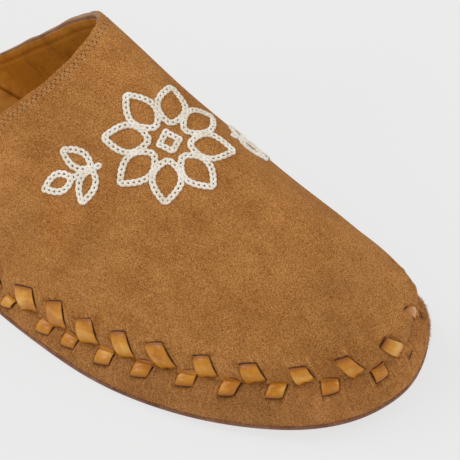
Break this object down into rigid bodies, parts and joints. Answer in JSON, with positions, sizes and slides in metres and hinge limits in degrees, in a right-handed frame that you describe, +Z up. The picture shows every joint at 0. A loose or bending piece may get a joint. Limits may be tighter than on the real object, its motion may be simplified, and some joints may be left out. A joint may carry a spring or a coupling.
{
  "type": "shoe",
  "caption": "Flat suede mule for the right foot with a rounded toe, an open heel and a flat thong laced in chevrons over the seam of the side band.",
  "frame": {"origin": "middle of the box's underside, on the floor", "axes": "+X from heel to toe, +Y towards the inner side of the foot, +Z up"},
  "size_m": [0.243, 0.09, 0.0705],
  "materials": {
    "suede": "suede nap",
    "rand_suede": "suede nap",
    "sole_leather": "burnished edge",
    "bed_leather": "smooth leather",
    "thong_leather": "smooth leather, soft sheen"
  },
  "bodies": {
    "root": {"outsole": "sole_leather", "insole": "bed_leather", "rand": "rand_suede", "upper": "suede", "thong_01": "thong_leather", "thong_02": "thong_leather", "thong_03": "thong_leather", "thong_04": "thong_leather", "thong_05": "thong_leather", "thong_06": "thong_leather", "thong_07": "thong_leather", "thong_08": "thong_leather", "thong_09": "thong_leather", "thong_10": "thong_leather", "thong_11": "thong_leather", "thong_12": "thong_leather", "thong_13": "thong_leather", "thong_14": "thong_leather", "thong_15": "thong_leather", "thong_16": "thong_leather", "thong_17": "thong_leather", "thong_18": "thong_leather", "thong_19": "thong_leather", "thong_20": "thong_leather", "thong_21": "thong_leather", "thong_22": "thong_leather", "thong_23": "thong_leather", "thong_24": "thong_leather", "thong_25": "thong_leather"}
  },
  "joints": []
}
